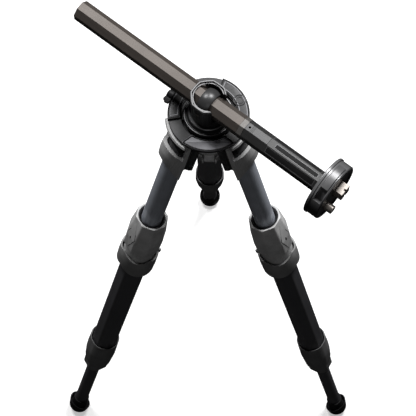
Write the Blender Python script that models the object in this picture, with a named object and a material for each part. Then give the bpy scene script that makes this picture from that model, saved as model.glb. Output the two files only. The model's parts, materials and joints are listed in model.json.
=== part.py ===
"""A tripod with a rotating, tilting centre column, lying level through its head.

Lengths are millimetres until `solid` and `place` turn them into metres.
Leg pieces are drawn in a leg frame: the hinge is the origin, +X points away from the
head, +Y runs along the hinge and -Z runs down the leg. Column pieces are drawn in a
column frame: +X runs along the column to its head plate and +Z is up.
"""

import math

import bmesh
import bpy
from mathutils import Matrix

MM = 0.001
GAP = 0.3  # between touching pieces
SLIDE = 0.35  # between a tube and what slides along it
SIDES = 24  # corners of a round section

# ---- legs, measured down the leg from the hinge ----
LEG_AZIMUTH = {"left": 210.0, "right": 330.0, "rear": 90.0}
LEG_ANGLE = 13.8  # from upright
LEG_LENGTH = 1036.0  # hinge to the centre of the sole
HINGE_RADIUS = 35.6  # from the head's axis to each hinge
PIN_RADIUS = 4.0
KNUCKLE_RADIUS = 10.4
KNUCKLE_HALF = 11.7  # half the knuckle's width
LUG_WIDTH = 5.2
SHOULDER = 31.0  # depth of the leg's shoulder below the hinge
CASTING_RADIUS = 18.2
CASTING_FACE = 29.0  # the flat inner face
CASTING_BOTTOM = 73.0  # on the leg's axis, lower towards the inner face
CASTING_SLANT = 1.15
COVER_WALL = 5.4
COVER_HALF_ANGLE = 84.0
COVER_TOP = 23.0  # at the outer side
COVER_BOTTOM = 56.0  # at the outer side

TUBE_RADIUS = 15.0  # upper tube
TUBE_WALL = 1.5
TUBE_TOP = 36.0
TUBE_BOTTOM = 480.0
MIDDLE_FLAT = 20.2  # middle tube, centre to flat
MIDDLE_ROUND = 21.5  # middle tube, centre to rounded corner
MIDDLE_WALL = 1.6
MIDDLE_TOP = 343.0
MIDDLE_BOTTOM = 800.0
LOWER_RADIUS = 11.4
LOWER_WALL = 1.4
LOWER_TOP = 690.0
LOWER_BOTTOM = LEG_LENGTH - 18.0

COLLAR_TOP = 243.0
COLLAR_SLANT = 0.1
COLLAR_RADIUS = 28.2
NECK_TOP = 326.0
NECK_BOTTOM = 382.0
NECK_WALL = 2.2
FOOT_COLLAR_TOP = 696.0
FOOT_COLLAR_BOTTOM = 821.0
FOOT_COLLAR_RADIUS = 26.0

YOKE_GAP = 2.8
YOKE_WALL = 2.7
YOKE_TOP = 334.0
YOKE_BOTTOM = 378.0
YOKE_PIN_DROP = 366.0  # pin's depth down the leg
YOKE_PIN_RADIUS = 2.2
YOKE_EAR = 8.6  # half the distance between the lever's ears
SHOE_WALL = 2.6

FOOT_SOLE = 13.0
FOOT_LIP = 19.4
FOOT_SLEEVE_TOP = LEG_LENGTH - 52.0

# ---- head, measured up from the hinges' height ----
PLATE_RADIUS = 53.2
PLATE_BOTTOM = 14.0
PLATE_TOP = 19.0
LOBE_HEIGHT = 3.4
LOBE_HALF_ANGLE = 40.0
GROOVE_RADIUS = 36.2
HUB_RADIUS = 22.0
HUB_BOTTOM = -26.0
BORE_RADIUS = 17.3
SPIDER_RADIUS = 49.0
SELECTOR_INNER = 51.0
SELECTOR_OUTER = 58.4
SELECTOR_BOTTOM = 6.0  # high enough for the covers to swing under
SELECTOR_HALF_WIDTH = 27.0
TURNTABLE_RADIUS = 33.2
TURNTABLE_TOP = 28.0
PORT_RADIUS = 8.4

# ---- column and its cradle ----
COLUMN_HEIGHT = 56.0  # axis above the hinges
COLUMN_AZIMUTH = -37.8
COLUMN_FLAT = 13.5  # centre to flat
COLUMN_WALL = 2.0
COLUMN_LEFT = -214.0
BAND_START = 54.5
BAND_LENGTH = 7.0
HEAD_START = BAND_START + BAND_LENGTH + GAP
FLANGE_START = 182.0
BALL_RADIUS = 18.9
BALL_HALF = 8.4
LINER_WALL = 1.4
CRADLE_WALL = 2.4
CRADLE_RIM = 74.0
TILT_RANGE = 18.0
TRUNNION_RADIUS = 2.5
FLANGE_RADIUS = 40.5
FLANGE_THICKNESS = 4.0
PLATE_DISC_RADIUS = 39.2
PLATE_DISC_THICKNESS = 15.8
STUD_SIZE = 17.0
STUD_RISE = 10.0  # how far the stud's block stands out of the face
STUD_OFFSET = 8.0  # the stud's axis, beside the column's
POST_RADIUS = 6.0
LEVER_MIDDLE = 4.0  # degrees round the plate from its top
LEVER_HALF = 29.0
LEVER_TRAVEL = 28.0

# ---- clamping knob ----
KNOB_AZIMUTH = 146.0
KNOB_HEIGHT = 6.0
KNOB_START = 53.5
KNOB_SPAN = 25.0

HINGE_HEIGHT = LEG_LENGTH * math.cos(math.radians(LEG_ANGLE))
FOOT_REACH = HINGE_RADIUS + LEG_LENGTH * math.sin(math.radians(LEG_ANGLE))
CENTRE_SHIFT = -FOOT_REACH / 4  # puts the middle of the three feet's box at the origin

FINISHES = {
    "casting": ((0.030, 0.030, 0.033), 0.45, 0.3),
    "cover": ((0.33, 0.33, 0.33), 0.5, 0.1),
    "tube": ((0.055, 0.065, 0.075), 0.35, 0.6),
    "black": ((0.012, 0.012, 0.014), 0.45, 0.1),
    "collar": ((0.075, 0.075, 0.078), 0.5, 0.1),
    "column": ((0.10, 0.088, 0.08), 0.45, 0.5),
    "band": ((0.50, 0.46, 0.42), 0.4, 0.3),
    "steel": ((0.62, 0.58, 0.53), 0.3, 1.0),
    "rubber": ((0.010, 0.010, 0.011), 0.8, 0.0),
    "rim": ((0.30, 0.30, 0.31), 0.35, 0.7),
}


def finish(name):
    """The material of that name, made the first time it is asked for."""
    found = bpy.data.materials.get(name)
    if found:
        return found
    material = bpy.data.materials.new(name)
    material.use_nodes = True
    shader = material.node_tree.nodes["Principled BSDF"]
    colour, roughness, metallic = FINISHES[name]
    shader.inputs["Base Color"].default_value = (*colour, 1.0)
    shader.inputs["Roughness"].default_value = roughness
    shader.inputs["Metallic"].default_value = metallic
    return material


def place(thing, parent, position=(0, 0, 0), turn=None):
    """Parents a thing and puts it at a position in millimetres, turned by a matrix."""
    thing.parent = parent
    matrix = turn.to_4x4() if turn else Matrix.Identity(4)
    matrix.translation = [MM * c for c in position]
    thing.matrix_local = matrix


def empty(name, parent, position=(0, 0, 0), turn=None):
    """A guide that other pieces hang on."""
    guide = bpy.data.objects.new(name, None)
    bpy.context.scene.collection.objects.link(guide)
    place(guide, parent, position, turn)
    return guide


def solid(name, rings, material, parent, wrap=False, position=(0, 0, 0), turn=None):
    """A closed solid skinned over rings of points, which all have the same count.

    The first and last rings are capped, or with wrap they are joined to each other.
    """
    mesh = bpy.data.meshes.new(name)
    bm = bmesh.new()
    rows = [[bm.verts.new([MM * c for c in point]) for point in ring] for ring in rings]
    pairs = list(zip(rows, rows[1:]))
    if wrap:
        pairs.append((rows[-1], rows[0]))
    else:
        bm.faces.new(rows[0][::-1])
        bm.faces.new(rows[-1])
    count = len(rows[0])
    for low, high in pairs:
        for i in range(count):
            j = (i + 1) % count
            bm.faces.new((low[i], low[j], high[j], high[i]))
    bmesh.ops.recalc_face_normals(bm, faces=bm.faces)
    bm.to_mesh(mesh)
    bm.free()
    mesh.shade_smooth()
    mesh.set_sharp_from_angle(angle=math.radians(35))
    mesh.materials.append(finish(material))
    piece = bpy.data.objects.new(name, mesh)
    bpy.context.scene.collection.objects.link(piece)
    place(piece, parent, position, turn)
    return piece


def tool(name, rings, parent, wrap=False, position=(0, 0, 0), turn=None):
    """A solid that only shapes others."""
    shape = solid(name, rings, "casting", parent, wrap, position, turn)
    shape.hide_render = True
    shape.display_type = "WIRE"
    return shape


def shape_with(piece, cutter, operation="DIFFERENCE"):
    """Cuts a piece by a tool, or joins the tool to it."""
    step = piece.modifiers.new(cutter.name, "BOOLEAN")
    step.operation = operation
    step.object = cutter
    step.solver = "EXACT"


# ---- sections, as lists of (x, y) ----
def round_section(radius, count=SIDES):
    """A circle with a corner half a step off the X axis."""
    step = math.tau / count
    return [
        (radius * math.cos((i + 0.5) * step), radius * math.sin((i + 0.5) * step))
        for i in range(count)
    ]


def octagon_section(flat, limit=None, count=SIDES):
    """An octagon with flats at a distance, its corners rounded down to a limit."""
    points = []
    for i in range(count):
        angle = (i + 0.5) * math.tau / count
        off = (angle + math.pi / 8) % (math.pi / 4) - math.pi / 8
        radius = flat / math.cos(off)
        if limit:
            radius = min(radius, limit)
        points.append((radius * math.cos(angle), radius * math.sin(angle)))
    return points


def casting_section(radius, face, count=SIDES):
    """A circle joined to a block that reaches a flat inner face at -X."""
    points = []
    for i in range(count):
        angle = (i + 0.5) * math.tau / count
        c, s = math.cos(angle), math.sin(angle)
        reach = radius
        if c < 0:
            reach = max(radius, min(face / -c, 0.5 * face / abs(s)))
        points.append((reach * c, reach * s))
    return points


def at(section, z, slant=0.0):
    """A section lifted to a height, which rises with x by the slant."""
    return [(x, y, z + slant * x) for x, y in section]


def rod(radius, low, high, axis="z", count=SIDES):
    """The two rings of a plain round bar along an axis."""
    ends = []
    for reach in (low, high):
        ring = at(round_section(radius, count), reach)
        if axis == "x":
            ring = [(z, x, y) for x, y, z in ring]
        if axis == "y":
            ring = [(y, z, x) for x, y, z in ring]
        ends.append(ring)
    return ends


def box(x0, x1, y0, y1, z0, z1):
    """The two rings of a block."""
    corners = ((x0, y0), (x1, y0), (x1, y1), (x0, y1))
    return [at(corners, z0), at(corners, z1)]


def turned(profile, count=SIDES, section=round_section):
    """Rings of a turned shape from (radius, z) pairs."""
    return [at(section(radius, count=count), z) for radius, z in profile]


def along_x(rings):
    """Rings drawn along Z, laid along X with Y kept level."""
    return [[(z, -x, y) for x, y, z in ring] for ring in rings]


def band(angles, inner, outer, low, high, bulge=0.0):
    """Rings of an arc-shaped wall; low and high are heights as functions of angle."""
    rings = []
    for degrees in angles:
        a = math.radians(degrees)
        c, s = math.cos(a), math.sin(a)
        bottom, top = low(degrees), high(degrees)
        middle = (bottom + top) / 2
        ring = [(inner, bottom), (outer, bottom), (outer + bulge, middle), (outer, top), (inner, top)]
        rings.append([(r * c, r * s, z) for r, z in ring])
    return rings


def spread(low, high, count):
    """Evenly spread numbers, both ends included."""
    return [low + (high - low) * i / (count - 1) for i in range(count)]


# ---- one leg ----
def leg_frame(side, root):
    """The empty at a leg's hinge, turned to the leg's direction."""
    azimuth = math.radians(LEG_AZIMUTH[side])
    position = (
        HINGE_RADIUS * math.cos(azimuth),
        HINGE_RADIUS * math.sin(azimuth),
        HINGE_HEIGHT,
    )
    turn = Matrix.Rotation(azimuth, 3, "Z") @ Matrix.Rotation(math.radians(-LEG_ANGLE), 3, "Y")
    return empty(f"{side}_leg_frame", root, position, turn)


def hinge_parts(side, leg):
    """The casting that holds the tube, its knuckle, the hinge pin and the grey cover."""
    outer = casting_section(CASTING_RADIUS, CASTING_FACE)
    neck = casting_section(CASTING_RADIUS - 5, CASTING_FACE - 7)
    bore = round_section(TUBE_RADIUS + GAP)
    rings = [
        at(bore, -TUBE_TOP + GAP),
        at(bore, -CASTING_BOTTOM, CASTING_SLANT),
        at(outer, -CASTING_BOTTOM, CASTING_SLANT),
        at(outer, -SHOULDER - 4),
        at(neck, -SHOULDER),
    ]
    casting = solid(f"{side}_hinge_casting", rings, "casting", leg)
    half = KNUCKLE_HALF
    web = box(-9, 9, -half, half, -SHOULDER - 3, 0)
    shape_with(casting, tool(f"{side}_casting_web", web, leg), "UNION")
    eye = rod(KNUCKLE_RADIUS, -half + 0.05, half - 0.05, "y")
    shape_with(casting, tool(f"{side}_casting_eye", eye, leg), "UNION")
    hole = rod(PIN_RADIUS + GAP, -half - 5, half + 5, "y", 16)
    shape_with(casting, tool(f"{side}_casting_hole", hole, leg))

    pin_half = half + GAP + LUG_WIDTH + 0.8
    solid(f"{side}_hinge_pin", rod(PIN_RADIUS, -pin_half, pin_half, "y", 16), "steel", leg)

    def cover_top(a):
        if abs(a) > COVER_HALF_ANGLE - 13:
            return -7.0
        return -COVER_TOP - 20 * (1 - math.cos(math.radians(a)))

    inner = CASTING_RADIUS + GAP
    angles = spread(-COVER_HALF_ANGLE, COVER_HALF_ANGLE, 15)
    rings = band(
        angles,
        inner,
        inner + COVER_WALL,
        lambda a: -COVER_BOTTOM - 40 * (1 - math.cos(math.radians(a))),
        cover_top,
        0.9,
    )
    solid(f"{side}_hinge_cover", rings, "cover", leg)


def leg_tubes(side, leg):
    """The three tubes, each open at both ends."""
    for name, outer, inner, top, bottom, material in (
        (
            "upper_tube",
            round_section(TUBE_RADIUS),
            round_section(TUBE_RADIUS - TUBE_WALL),
            TUBE_TOP,
            TUBE_BOTTOM,
            "tube",
        ),
        (
            "middle_tube",
            octagon_section(MIDDLE_FLAT, MIDDLE_ROUND),
            octagon_section(MIDDLE_FLAT - MIDDLE_WALL, MIDDLE_ROUND - MIDDLE_WALL),
            MIDDLE_TOP,
            MIDDLE_BOTTOM,
            "black",
        ),
        (
            "lower_tube",
            round_section(LOWER_RADIUS),
            round_section(LOWER_RADIUS - LOWER_WALL),
            LOWER_TOP,
            LOWER_BOTTOM,
            "black",
        ),
    ):
        rings = [at(outer, -bottom), at(outer, -top), at(inner, -top), at(inner, -bottom)]
        solid(f"{side}_{name}", rings, material, leg, wrap=True)


def upper_collar(side, leg):
    """The big collar: a slanted mouth, a sliding land, a cavity and a neck for the lever."""
    middle = octagon_section(MIDDLE_FLAT + GAP, MIDDLE_ROUND + GAP)
    land = round_section(TUBE_RADIUS + SLIDE)
    mouth = round_section(COLLAR_RADIUS - 8)
    cavity = round_section(CASTING_RADIUS + 1.0)
    neck = MIDDLE_ROUND + GAP + NECK_WALL
    rings = [
        at(round_section(neck), -NECK_BOTTOM),
        at(round_section(neck), -NECK_TOP),
        at(octagon_section(COLLAR_RADIUS - 1.6, COLLAR_RADIUS - 0.6), -NECK_TOP + 3),
        at(octagon_section(COLLAR_RADIUS - 0.8, COLLAR_RADIUS), -COLLAR_TOP - 46),
        at(octagon_section(COLLAR_RADIUS - 5.6, COLLAR_RADIUS - 4.8), -COLLAR_TOP, COLLAR_SLANT),
        at(mouth, -COLLAR_TOP - 0.8, COLLAR_SLANT),
        at(round_section(TUBE_RADIUS + 3), -COLLAR_TOP - 22, COLLAR_SLANT / 2),
        at(land, -COLLAR_TOP - 26),
        at(land, -COLLAR_TOP - 46),
        at(cavity, -COLLAR_TOP - 46),
        at(cavity, -MIDDLE_TOP + GAP),
        at(middle, -MIDDLE_TOP + GAP),
        at(middle, -NECK_BOTTOM),
    ]
    collar = solid(f"{side}_upper_collar", rings, "collar", leg, wrap=True)
    drop = YOKE_PIN_DROP
    boss = box(-yoke_pin_reach() - 3.8, -neck + 1, -8, 8, -drop - 7, -drop + 7)
    shape_with(collar, tool(f"{side}_collar_boss", boss, leg), "UNION")
    hole = rod(YOKE_PIN_RADIUS + GAP, -12, 12, "y", 12)
    pin_place = (-yoke_pin_reach(), 0, -YOKE_PIN_DROP)
    cutter = tool(f"{side}_boss_hole", hole, leg, position=pin_place)
    shape_with(collar, cutter)


def yoke_pin_reach():
    """How far the lever's pin lies inwards of the leg's axis."""
    return MIDDLE_ROUND + GAP + NECK_WALL + YOKE_PIN_RADIUS + 1.4


def yoke_lever(side, leg):
    """The U-shaped quick lever round the neck, its pivot pin and the shoe that it works."""
    pin = yoke_pin_reach()
    inner = MIDDLE_ROUND + GAP + NECK_WALL + YOKE_GAP
    frame = empty(f"{side}_lever_axis", leg, (-pin, 0, -YOKE_PIN_DROP))
    ear = 180 - math.degrees(math.asin((YOKE_EAR + 1.6) / inner))
    angles = spread(-ear, ear, 21)

    def low(a):
        return -YOKE_BOTTOM - 14 * math.sin(math.radians(min(abs(a), 90)))

    def high(a):
        dip = math.sin(math.radians(min(abs(a), 120) * 180 / 120))
        return -YOKE_TOP - 14 * dip - 22 * max(0.0, abs(a) - 90) / (ear - 90)

    rings = band(angles, inner, inner + YOKE_WALL, low, high, 0.5)
    rings = [[(x + pin, y, z + YOKE_PIN_DROP) for x, y, z in ring] for ring in rings]
    lever = solid(f"{side}_quick_lever", rings, "collar", frame)
    edge = [(4.2, -2.5), (4.2, 2.5), (1.5, 6), (-3, 6.5), (-7, 4), (-7, -4), (-3, -6.5), (1.5, -6)]
    for sign, word in ((-1, "near"), (1, "far")):
        rings = [[(x, sign * y, z) for x, z in edge] for y in (YOKE_EAR, YOKE_EAR + YOKE_WALL)]
        shape_with(lever, tool(f"{side}_{word}_ear", rings, frame), "UNION")
    hole = rod(YOKE_PIN_RADIUS + GAP, -40, 40, "y", 12)
    shape_with(lever, tool(f"{side}_lever_hole", hole, frame))
    half = YOKE_EAR + YOKE_WALL + 1
    solid(f"{side}_lever_pin", rod(YOKE_PIN_RADIUS, -half, half, "y", 12), "steel", frame)

    start = TUBE_RADIUS + GAP
    rings = band(
        spread(150, 210, 6),
        start,
        start + SHOE_WALL,
        lambda a: -COLLAR_TOP - 84,
        lambda a: -COLLAR_TOP - 56,
    )
    solid(f"{side}_clamp_shoe", rings, "rubber", leg)


def foot_parts(side, leg):
    """The lower collar and the rubber foot with its flared outer lip."""
    middle = octagon_section(MIDDLE_FLAT + GAP, MIDDLE_ROUND + GAP)
    land = round_section(LOWER_RADIUS + SLIDE)
    r = FOOT_COLLAR_RADIUS
    rings = [
        at(round_section(LOWER_RADIUS + 3.2), -FOOT_COLLAR_BOTTOM),
        at(octagon_section(r - 3.2, r - 2.4), -FOOT_COLLAR_BOTTOM + 42, 0.5),
        at(octagon_section(r - 0.6, r), -FOOT_COLLAR_BOTTOM + 84),
        at(octagon_section(r - 1.6, r - 1.2), -FOOT_COLLAR_TOP, COLLAR_SLANT),
        at(octagon_section(r - 3.6, r - 3.0), -FOOT_COLLAR_TOP - 0.8, COLLAR_SLANT),
        at(middle, -FOOT_COLLAR_TOP - 20),
        at(middle, -MIDDLE_BOTTOM - GAP),
        at(land, -MIDDLE_BOTTOM - GAP),
        at(land, -FOOT_COLLAR_BOTTOM),
    ]
    solid(f"{side}_lower_collar", rings, "collar", leg, wrap=True)

    bore = round_section(LOWER_RADIUS + GAP)
    sleeve = round_section(LOWER_RADIUS + 2.2)
    sole_slant = -math.tan(math.radians(LEG_ANGLE))
    lip = -LEG_LENGTH + 29
    rings = [
        at(bore, -LOWER_BOTTOM - GAP),
        at(bore, -FOOT_SLEEVE_TOP),
        at(sleeve, -FOOT_SLEEVE_TOP),
        at(sleeve, -LEG_LENGTH + 16),
        at(round_section(FOOT_LIP - 3.4), -LEG_LENGTH + 14),
        at(round_section(FOOT_LIP - 2.2), lip, 0.4),
        at(round_section(FOOT_LIP), lip, 0.4),
        at(round_section(FOOT_LIP - 1.2), -LEG_LENGTH + 11),
        at(round_section(FOOT_SOLE), -LEG_LENGTH, sole_slant),
    ]
    solid(f"{side}_foot", rings, "rubber", leg)


# ---- head ----
def sector(azimuth, inner, outer, half, low, high):
    """The rings of a ring-shaped sector between two heights."""
    edge = []
    for a in spread(azimuth - half, azimuth + half, 9):
        edge.append((outer * math.cos(math.radians(a)), outer * math.sin(math.radians(a))))
    for a in reversed(spread(azimuth - half, azimuth + half, 9)):
        edge.append((inner * math.cos(math.radians(a)), inner * math.sin(math.radians(a))))
    return [at(edge, low), at(edge, high)]


def spider(head):
    """The casting that carries the three legs, with a lug each side of every knuckle."""
    rim = PLATE_BOTTOM - GAP
    count = 36
    profile = (
        (BORE_RADIUS, HUB_BOTTOM),
        (HUB_RADIUS, HUB_BOTTOM),
        (HUB_RADIUS, rim - 9),
        (SPIDER_RADIUS, rim - 6),
        (SPIDER_RADIUS, rim),
        (BORE_RADIUS, rim),
    )
    casting = solid("spider_casting", turned(profile, count), "casting", head, wrap=True)
    for side, azimuth in LEG_AZIMUTH.items():
        turn = Matrix.Rotation(math.radians(azimuth), 3, "Z")
        inner = KNUCKLE_HALF + GAP
        outer = inner + LUG_WIDTH
        for sign, word in ((-1, "near"), (1, "far")):
            y0, y1 = sorted((sign * inner, sign * outer))
            arc = [180 + 180 * i / 10 for i in range(11)]
            edge = [
                (
                    HINGE_RADIUS + KNUCKLE_RADIUS * math.cos(math.radians(a)),
                    KNUCKLE_RADIUS * math.sin(math.radians(a)),
                )
                for a in arc
            ]
            edge += [(HINGE_RADIUS + KNUCKLE_RADIUS, rim - 1), (HUB_RADIUS - 2, rim - 1)]
            edge += [(HUB_RADIUS - 2, 0)]
            rings = [[(x, y, z) for x, z in edge] for y in (y0, y1)]
            lug = tool(f"{side}_lug_{word}", rings, head, turn=turn)
            shape_with(casting, lug, "UNION")
    for side, azimuth in LEG_AZIMUTH.items():
        turn = Matrix.Rotation(math.radians(azimuth), 3, "Z")
        inner = KNUCKLE_HALF + GAP
        slot = box(HUB_RADIUS + 0.6, SPIDER_RADIUS + 9, -inner, inner, HUB_BOTTOM - 9, rim + 5)
        shape_with(casting, tool(f"{side}_slot", slot, head, turn=turn))
        hole = rod(PIN_RADIUS + GAP, -40, 40, "y", 16)
        place_at = turn @ Matrix.Translation((HINGE_RADIUS, 0, 0)).to_translation()
        shape_with(casting, tool(f"{side}_lug_hole", hole, head, position=place_at, turn=turn))
    knob_hole = rod(4.3, 0, 20, "x", 16)
    turn = Matrix.Rotation(math.radians(KNOB_AZIMUTH), 3, "Z")
    start = turn @ Matrix.Translation((SPIDER_RADIUS - 7, 0, KNOB_HEIGHT)).to_translation()
    boss = rod(6.5, 0, 7, "x", 16)
    start_boss = turn @ Matrix.Translation((SPIDER_RADIUS - 8, 0, KNOB_HEIGHT)).to_translation()
    shape_with(casting, tool("knob_boss", boss, head, position=start_boss, turn=turn), "UNION")
    shape_with(casting, tool("knob_hole", knob_hole, head, position=start, turn=turn))


def head_covers(head):
    """The top plate with two raised lobes, the blank front panel, the port cap and selectors."""
    count = 36
    profile = (
        (GROOVE_RADIUS, PLATE_BOTTOM),
        (PLATE_RADIUS - 0.6, PLATE_BOTTOM),
        (PLATE_RADIUS, PLATE_BOTTOM + 0.8),
        (PLATE_RADIUS, PLATE_TOP - 1),
        (PLATE_RADIUS - 1, PLATE_TOP),
        (GROOVE_RADIUS, PLATE_TOP),
    )
    plate = solid("top_plate", turned(profile, count), "casting", head, wrap=True)
    top = PLATE_TOP + LOBE_HEIGHT
    for azimuth, word in ((30, "right"), (150, "left")):
        rings = sector(
            azimuth, GROOVE_RADIUS + 1, PLATE_RADIUS + 0.6, LOBE_HALF_ANGLE, PLATE_BOTTOM + 2, top
        )
        shape_with(plate, tool(f"{word}_lobe", rings, head), "UNION")
    port_reach = (GROOVE_RADIUS + PLATE_RADIUS) / 2
    spot = (
        port_reach * math.cos(math.radians(25)),
        port_reach * math.sin(math.radians(25)),
        top - 3,
    )
    socket = rod(PORT_RADIUS + GAP, 0, 9, count=20)
    shape_with(plate, tool("port_socket", socket, head, position=spot))
    profile = (
        (PORT_RADIUS, GAP),
        (PORT_RADIUS, 3.2),
        (PORT_RADIUS - 1.4, 3.6),
        (PORT_RADIUS - 1.8, 2.9),
        (3.0, 3.3),
    )
    solid("accessory_port_cap", turned(profile, 20), "black", head, position=spot)

    panel = sector(
        270,
        GROOVE_RADIUS + 1,
        PLATE_RADIUS + 0.6,
        LOBE_HALF_ANGLE,
        PLATE_TOP + GAP,
        top,
    )
    solid("front_panel", panel, "casting", head)

    for side, azimuth in LEG_AZIMUTH.items():
        angles = spread(-SELECTOR_HALF_WIDTH, SELECTOR_HALF_WIDTH, 9)
        rings = band(
            angles,
            SELECTOR_INNER,
            SELECTOR_OUTER - 2.5,
            lambda a: SELECTOR_BOTTOM,
            lambda a: PLATE_BOTTOM - 1,
            1.6,
        )
        turn = Matrix.Rotation(math.radians(azimuth), 3, "Z")
        selector = solid(f"{side}_angle_selector", rings, "cover", head, turn=turn)
        reach = KNUCKLE_HALF + 0.7
        notch = box(SELECTOR_INNER - 5, SELECTOR_OUTER + 5, -reach, reach, -40, PLATE_BOTTOM - 6)
        shape_with(selector, tool(f"{side}_selector_notch", notch, head, turn=turn))


def wing_knob(head):
    """The winged clamping knob and its threaded shaft."""
    turn = Matrix.Rotation(math.radians(KNOB_AZIMUTH), 3, "Z")
    start = turn @ Matrix.Translation((KNOB_START, 0, KNOB_HEIGHT)).to_translation()
    axis = empty("knob_axis", head, start, turn)
    profile = ((6.0, 0), (6.6, 2), (6.2, 9.5), (4.6, 11.5))
    rings = [[(z, x, y) for x, y, z in ring] for ring in turned(profile, 20)]
    knob = solid("wing_knob", rings, "black", axis)
    half = KNOB_SPAN / 2
    edge = [(1, -4), (3, -half), (8, -half - 1), (12, -half + 2), (10, 0)]
    edge += [(12, half - 2), (8, half + 1), (3, half), (1, 4)]
    rings = [[(x, y, z) for x, y in edge] for z in (-2.6, 2.6)]
    shape_with(knob, tool("knob_wings", rings, axis), "UNION")
    shaft = rod(3.6, -10, 0.4, "x", 16)
    shape_with(knob, tool("knob_shaft", shaft, axis), "UNION")


def cradle_cuts(name, radius, frame):
    """The tools that open a cradle wall: a throat to the right and a window to the left."""
    half = COLUMN_FLAT / math.cos(math.pi / 8) + 0.9
    drop = COLUMN_FLAT + 1.4
    throat = box(0, radius + 9, -half, half, -drop, 60)
    reach = radius + 2
    fall = drop + reach * math.sin(math.radians(TILT_RANGE)) + 1
    window = box(-radius - 9, 0, -half, half, -fall, COLUMN_FLAT + 1.2)
    trunnion = rod(TRUNNION_RADIUS + GAP, -60, 60, "y", 12)
    return [
        tool(f"{name}_throat", throat, frame),
        tool(f"{name}_window", window, frame),
        tool(f"{name}_pin_hole", trunnion, frame),
    ]


def column_cradle(head):
    """The turntable, the two nested cradle walls, the tilting ball and its two pins."""
    count = 36
    profile = (
        (BORE_RADIUS, PLATE_BOTTOM + GAP),
        (TURNTABLE_RADIUS, PLATE_BOTTOM + GAP),
        (TURNTABLE_RADIUS, PLATE_TOP + 1.5),
        (TURNTABLE_RADIUS - 2.2, PLATE_TOP + 3.2),
        (TURNTABLE_RADIUS - 3.4, PLATE_TOP + 2.2),
        (TURNTABLE_RADIUS - 5.4, PLATE_TOP + 5.5),
        (TURNTABLE_RADIUS - 6.4, TURNTABLE_TOP),
        (BORE_RADIUS, TURNTABLE_TOP),
    )
    solid("turntable", turned(profile, count), "casting", head, wrap=True)

    turn = Matrix.Rotation(math.radians(COLUMN_AZIMUTH), 3, "Z")
    frame = empty("tilt_axis", head, (0, 0, COLUMN_HEIGHT), turn)
    inner = BALL_RADIUS + 0.5 + LINER_WALL + GAP
    outer = inner + CRADLE_WALL
    base = TURNTABLE_TOP + GAP - COLUMN_HEIGHT
    rim = CRADLE_RIM - COLUMN_HEIGHT
    rings = [
        at(round_section(outer), base),
        at(octagon_section(outer - 0.2, outer + 0.9), rim - 1.5),
        at(octagon_section(outer - 1.2, outer), rim),
        at(octagon_section(inner, inner + 1.2), rim),
        at(round_section(inner), rim - 8),
        at(round_section(inner), base),
    ]
    cradle = solid("column_cradle", rings, "rim", frame, wrap=True)
    for cutter in cradle_cuts("cradle", outer, frame):
        shape_with(cradle, cutter)

    wall = BALL_RADIUS + 0.5
    low = -BALL_RADIUS - 3
    profile = ((wall, low), (wall + LINER_WALL, low), (wall + LINER_WALL, rim - 2.5), (wall, rim - 2.5))
    liner = solid("cradle_liner", turned(profile), "rim", frame, wrap=True)
    for cutter in cradle_cuts("liner", wall, frame):
        shape_with(liner, cutter)

    rings = [at(octagon_section(COLUMN_FLAT + SLIDE), -BALL_HALF)]
    for x in spread(-BALL_HALF, BALL_HALF, 9):
        radius = math.sqrt(BALL_RADIUS**2 - x**2)
        rings.append(at(round_section(radius), x))
    rings.append(at(octagon_section(COLUMN_FLAT + SLIDE), BALL_HALF))
    ball = solid("tilt_ball", along_x(rings), "casting", frame, wrap=True)
    hole = rod(TRUNNION_RADIUS + GAP, -60, 60, "y", 12)
    shape_with(ball, tool("ball_pin_hole", hole, frame))

    start = COLUMN_FLAT + SLIDE + 0.5
    for sign, word in ((-1, "near"), (1, "far")):
        low, high = sorted((sign * start, sign * outer))
        solid(f"{word}_trunnion", rod(TRUNNION_RADIUS, low, high, "y", 12), "steel", frame)
    return frame


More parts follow.
